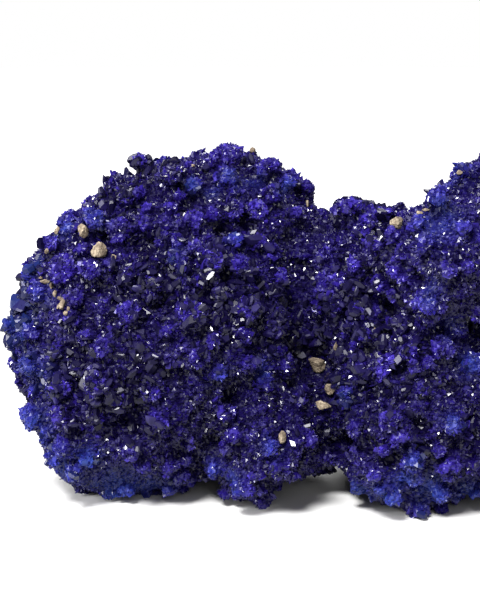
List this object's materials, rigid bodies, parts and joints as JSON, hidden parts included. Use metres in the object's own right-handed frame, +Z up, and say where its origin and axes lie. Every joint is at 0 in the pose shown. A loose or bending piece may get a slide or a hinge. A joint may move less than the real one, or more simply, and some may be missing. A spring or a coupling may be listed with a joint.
{
  "type": "azurite crystal cluster",
  "caption": "Lumpy two-lobed mass of azurite druse on low feet, with a deep cleft down its front and small grains of host rock in its crust.",
  "frame": {"origin": "on the ground under the middle of the mass", "axes": "+X along the mass towards its right lobe, +Y away from the front with the cleft, +Z up"},
  "size_m": [0.0995, 0.0542, 0.0591],
  "materials": {
    "azurite": "glassy crystal druse, deep violet blue",
    "host_rock": "matte sandy tan"
  },
  "bodies": {
    "root": {"azurite_cluster": "azurite", "host_rock_grain_upper_left": "host_rock", "host_rock_grain_oval": "host_rock", "host_rock_grain_cleft_top": "host_rock", "host_rock_grain_cleft_middle": "host_rock", "host_rock_grain_cleft_low": "host_rock", "host_rock_grain_toe": "host_rock", "host_rock_grain_saddle": "host_rock"}
  },
  "joints": []
}
